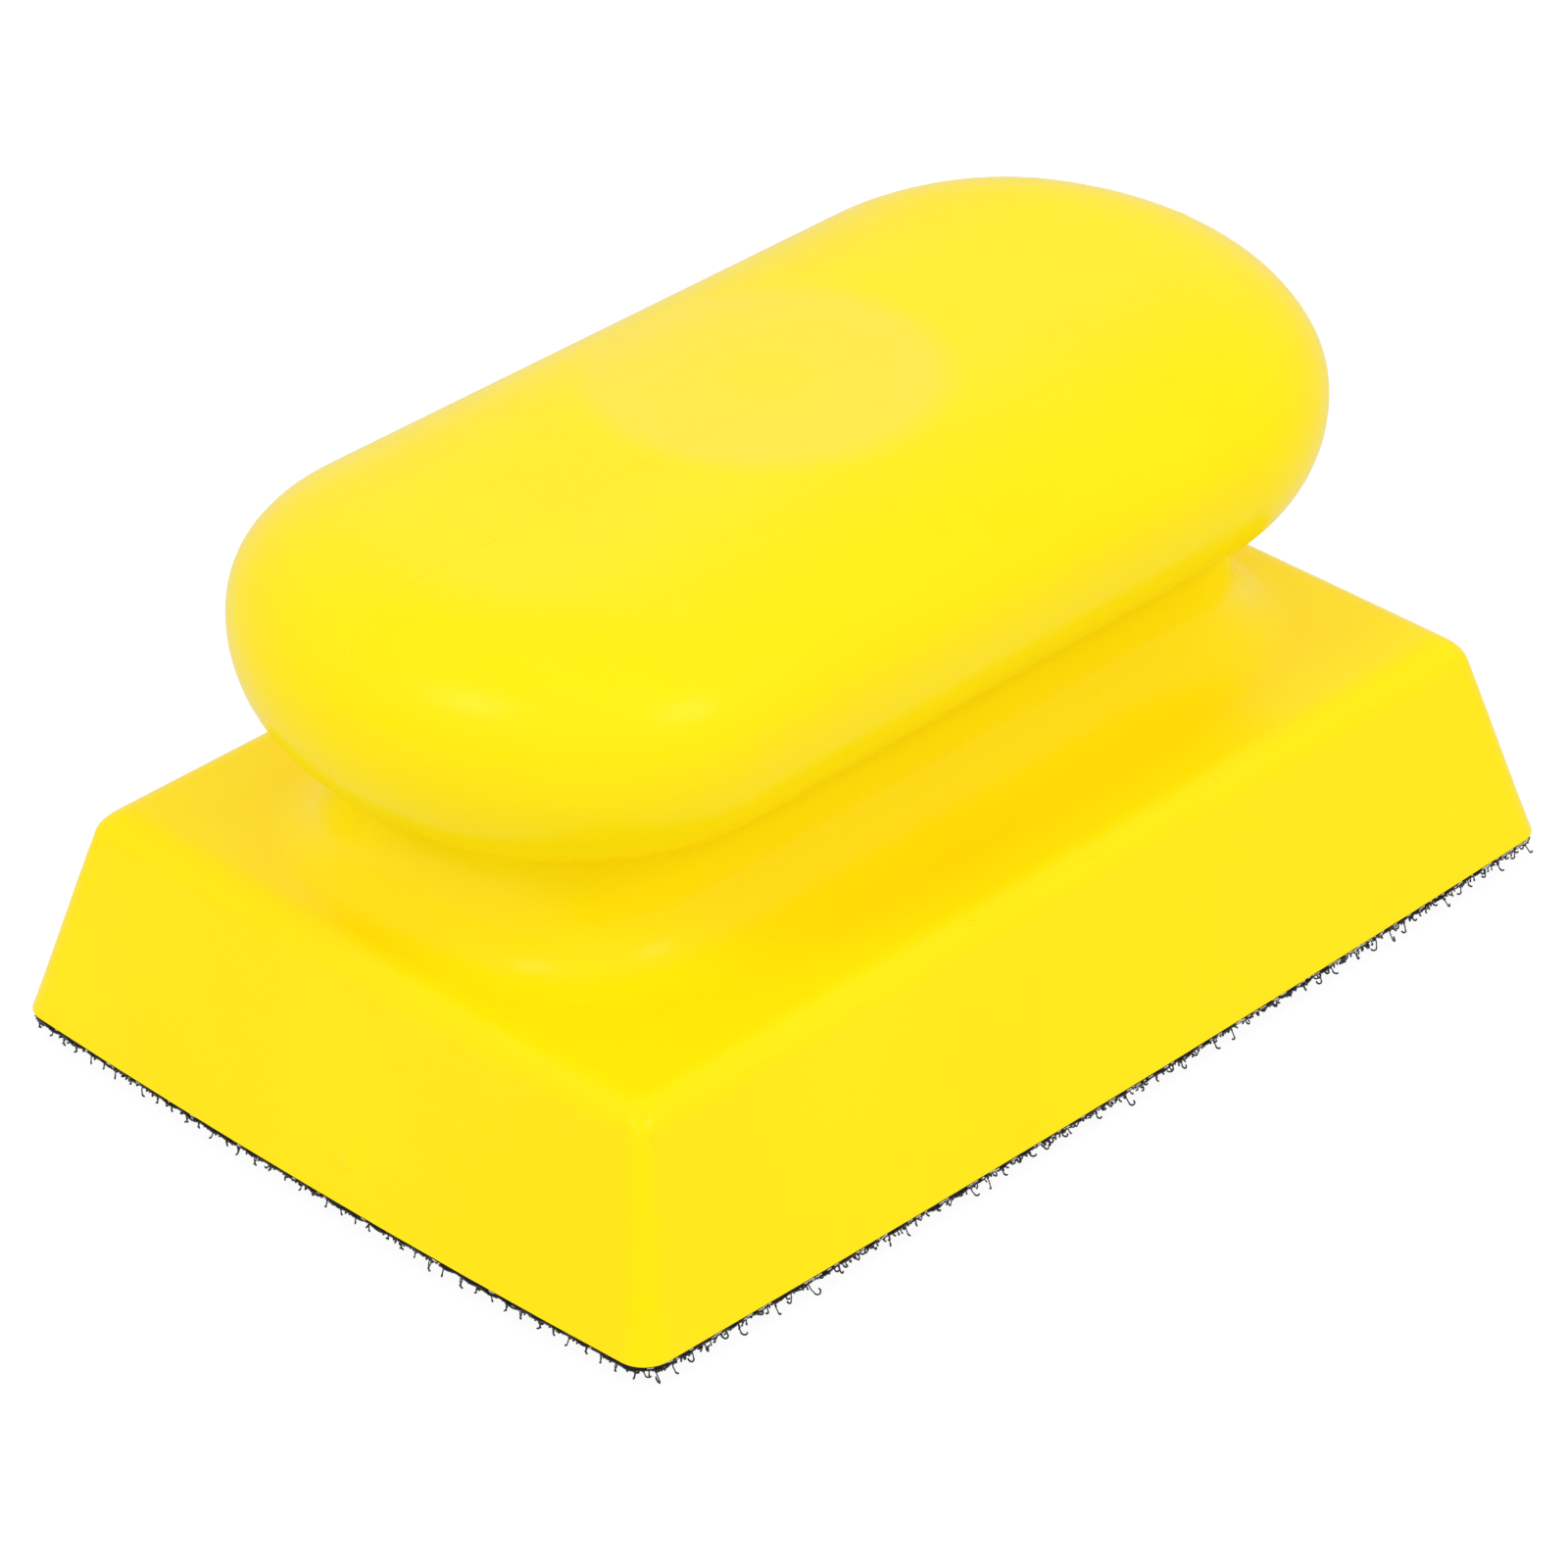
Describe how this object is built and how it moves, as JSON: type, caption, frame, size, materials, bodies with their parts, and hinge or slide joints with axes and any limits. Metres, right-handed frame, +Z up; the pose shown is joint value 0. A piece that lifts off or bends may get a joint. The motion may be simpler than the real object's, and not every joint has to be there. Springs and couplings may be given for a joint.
{
  "type": "hand float block",
  "caption": "Tapered rectangular hand block with a waisted neck, a rounded palm grip and a hook-tape sole for press-on pads.",
  "frame": {"origin": "middle of the sole, level with the tips of the hooks that the block stands on", "axes": "+X along the block's length, +Y across its width, +Z up through the palm grip"},
  "size_m": [0.125, 0.0854, 0.0606],
  "materials": {
    "yellow_polyurethane": "self-skinned polyurethane, semi-gloss, with a fine grain",
    "clear_adhesive": "thin cured contact adhesive",
    "black_woven_nylon": "black woven nylon tape ground",
    "black_nylon_hooks": "black nylon monofilament hooks"
  },
  "bodies": {
    "root": {"moulded_body": "yellow_polyurethane", "adhesive_film": "clear_adhesive", "hook_tape_backing": "black_woven_nylon", "hook_pile": "black_nylon_hooks"}
  },
  "joints": []
}
